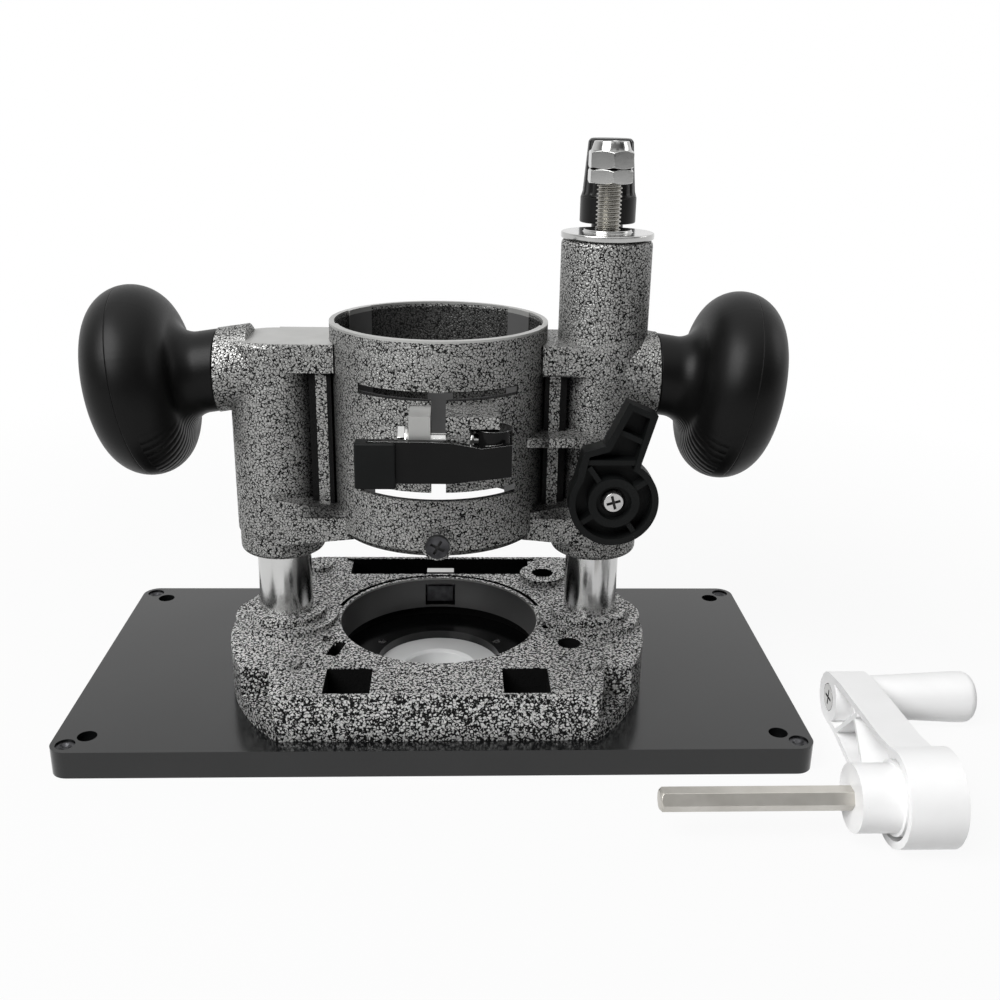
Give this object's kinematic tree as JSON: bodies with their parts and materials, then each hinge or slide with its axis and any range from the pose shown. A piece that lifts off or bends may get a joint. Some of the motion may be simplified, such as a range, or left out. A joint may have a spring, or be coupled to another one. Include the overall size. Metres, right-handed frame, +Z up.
{
  "type": "router table lift plate",
  "caption": "Router lift on a flat insert plate: base casting, two posts, sliding motor collar with cam clamp, lead screw, side handles, depth stop and loose crank.",
  "frame": {"origin": "centre of the insert plate on its table-side face, on the bit opening's axis", "axes": "+Z up from the plate through the motor collar, +X along the plate's long side towards the lead screw, -Y towards the clamp lever"},
  "size_m": [0.2967, 0.167, 0.1846],
  "materials": {
    "anodised": "black anodised, fine texture",
    "vein_paint": "cast, silver-grey crackle paint with black veins",
    "chrome": "polished",
    "steel": "satin",
    "black_steel": "gloss black",
    "black_plastic": "satin black",
    "white_plastic": "white",
    "ring_plastic": "white satin",
    "bronze": "sintered"
  },
  "bodies": {
    "base": {"insert_plate": "anodised", "insert_ring": "ring_plastic", "ring_screws": "steel", "base_casting": "vein_paint", "base_screws": "steel", "left_post": "chrome", "right_post": "chrome", "return_spring": "steel", "thrust_washer": "steel"},
    "level_screw_1": {"level_screw_1": "steel"},
    "level_screw_2": {"level_screw_2": "steel"},
    "level_screw_3": {"level_screw_3": "steel"},
    "level_screw_4": {"level_screw_4": "steel"},
    "latch": {"guide_latch": "black_steel", "latch_tab": "chrome"},
    "screw": {"lead_screw": "steel", "drive_coupler": "steel", "coupler_pin": "steel", "stop_nut": "chrome", "lock_nut": "chrome"},
    "carriage": {"carriage_casting": "vein_paint", "lift_nut": "chrome", "left_bushings": "bronze", "right_bushings": "bronze", "collar_screw": "black_steel", "handle_studs": "steel", "left_handle": "black_plastic", "right_handle": "black_plastic", "lock_pad": "bronze", "clamp_bolt": "steel", "clamp_washers": "chrome"},
    "plunge_lock": {"lock_lever": "black_plastic", "lock_lever_screw": "chrome", "lock_bolt": "steel"},
    "clamp_lever": {"cam_lever": "black_steel", "cam_pin": "steel", "lever_tip": "black_plastic"},
    "depth_stop": {"depth_rod": "steel", "depth_knob": "black_plastic"},
    "depth_clamp": {"thumb_screw": "black_plastic"},
    "crank": {"crank_arm": "white_plastic", "crank_shaft": "steel", "crank_screw": "steel"},
    "grip": {"crank_grip": "white_plastic"}
  },
  "joints": [
    {"name": "carriage_slide", "type": "slide", "parent": "base", "child": "carriage", "axis": [0, 0, 1], "range_m": [-0.0215, 0.0132], "deforming": ["return_spring"]},
    {"name": "lead_screw_turn", "type": "hinge", "parent": "base", "child": "screw", "pos_m": [0.0525, 0, 0.1], "axis": [0, 0, 1], "range_deg": [-3900, 6300]},
    {"name": "plunge_lock_turn", "type": "hinge", "parent": "carriage", "child": "plunge_lock", "pos_m": [0.0546, -0.026, 0.0783], "axis": [0, 1, 0], "range_deg": [-30, 25]},
    {"name": "clamp_lever_swing", "type": "hinge", "parent": "carriage", "child": "clamp_lever", "pos_m": [0.017, -0.043, 0.102], "axis": [0, 0, 1], "range_deg": [0, 100]},
    {"name": "depth_rod_slide", "type": "slide", "parent": "carriage", "child": "depth_stop", "axis": [0, 0, 1], "range_m": [-0.017, 0.01]},
    {"name": "thumb_screw_turn", "type": "hinge", "parent": "carriage", "child": "depth_clamp", "pos_m": [0.0556, 0.033, 0.126], "axis": [0, 1, 0], "range_deg": [0, 180]},
    {"name": "guide_latch_slide", "type": "slide", "parent": "base", "child": "latch", "axis": [0, 1, 0], "range_m": [0, 0.004], "stiffness_N_per_m": 200, "springref_m": -0.003},
    {"name": "level_screw_1_slide", "type": "slide", "parent": "base", "child": "level_screw_1", "axis": [0, 0, 1], "range_m": [-0.001, 0.003]},
    {"name": "level_screw_2_slide", "type": "slide", "parent": "base", "child": "level_screw_2", "axis": [0, 0, 1], "range_m": [-0.001, 0.003]},
    {"name": "level_screw_3_slide", "type": "slide", "parent": "base", "child": "level_screw_3", "axis": [0, 0, 1], "range_m": [-0.001, 0.003]},
    {"name": "level_screw_4_slide", "type": "slide", "parent": "base", "child": "level_screw_4", "axis": [0, 0, 1], "range_m": [-0.001, 0.003]},
    {"name": "crank_lift", "type": "slide", "parent": "base", "child": "crank", "axis": [0, 0, 1], "range_m": [0, 0.1]},
    {"name": "crank_grip_spin", "type": "hinge", "parent": "crank", "child": "grip", "pos_m": [0.163, -0.02753, 0.0085], "axis": [1, 0, 0], "continuous": true}
  ],
  "couplings": [
    {"joint": "lead_screw_turn", "follows": "carriage_slide", "rad_per_m": -5026.5}
  ]
}
